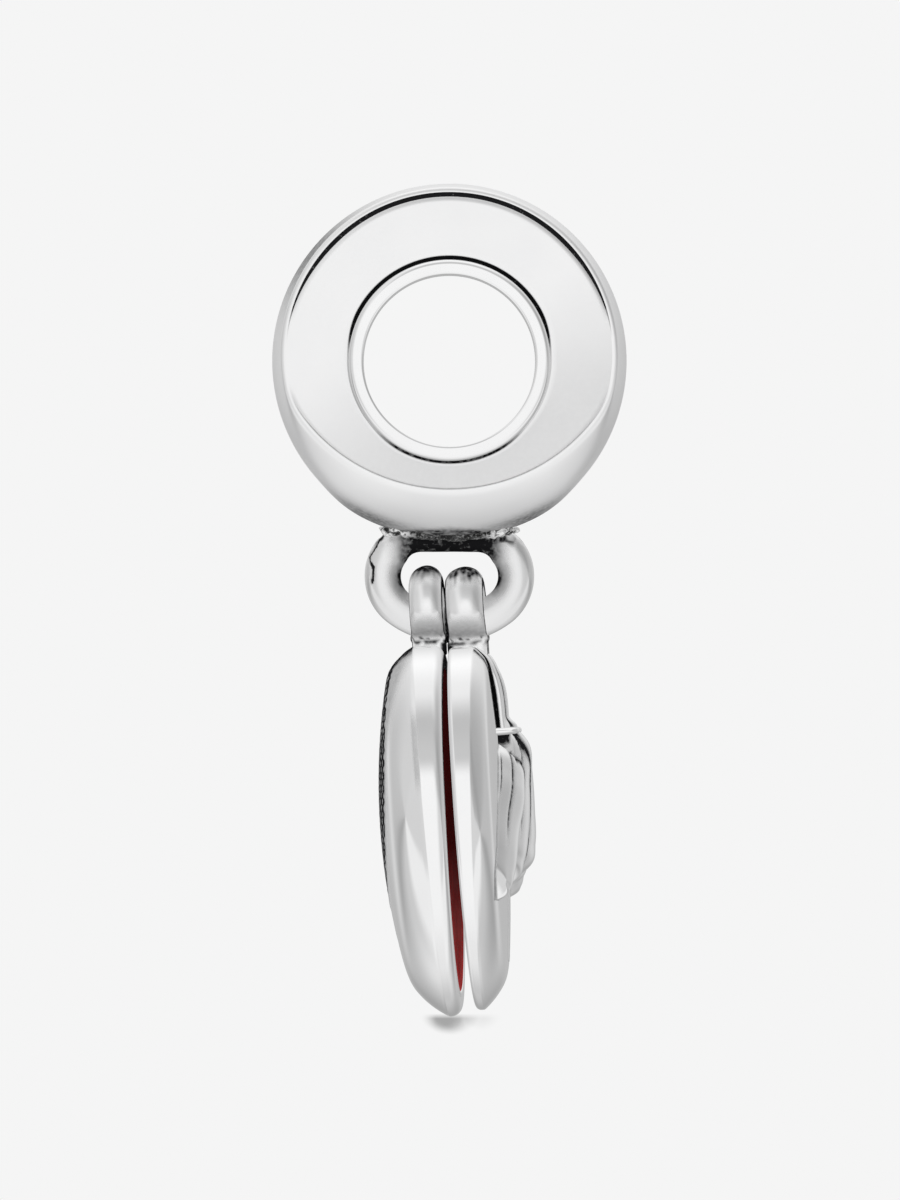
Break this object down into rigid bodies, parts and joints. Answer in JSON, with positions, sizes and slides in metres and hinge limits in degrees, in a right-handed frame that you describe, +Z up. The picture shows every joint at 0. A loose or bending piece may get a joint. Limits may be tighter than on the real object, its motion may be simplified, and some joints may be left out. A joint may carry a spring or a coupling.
{
  "type": "dangle charm",
  "caption": "Silver bracelet charm: a wedge-shaped bead with a wide bore, an oval ring soldered under it and domed round pendants with enamelled inner faces that swing on the ring.",
  "frame": {"origin": "middle of the bead's bore, on its axis", "axes": "+X to the right across the bead's face, +Y along the bore away from the viewer, +Z up"},
  "size_m": [0.0094, 0.0098, 0.0221],
  "materials": {
    "silver": "mirror polished sterling silver, darkened in the grooves and at the solder",
    "enamel": "glossy translucent red enamel"
  },
  "bodies": {
    "bead": {"bead": "silver", "bead_core": "silver"},
    "rear": {"rear_pendant": "silver", "rear_enamel": "enamel"},
    "front": {"front_pendant": "silver", "front_enamel": "enamel"}
  },
  "joints": [
    {"name": "rear_swing", "type": "hinge", "parent": "bead", "child": "rear", "pos_m": [-0.00057, 0, -0.00693], "axis": [0.9978, -0.0436, 0.0497], "range_deg": [-80, 80]},
    {"name": "front_swing", "type": "hinge", "parent": "bead", "child": "front", "pos_m": [0.00046, 0, -0.00695], "axis": [0.9962, -0.0435, 0.0758], "range_deg": [-80, 80]}
  ]
}
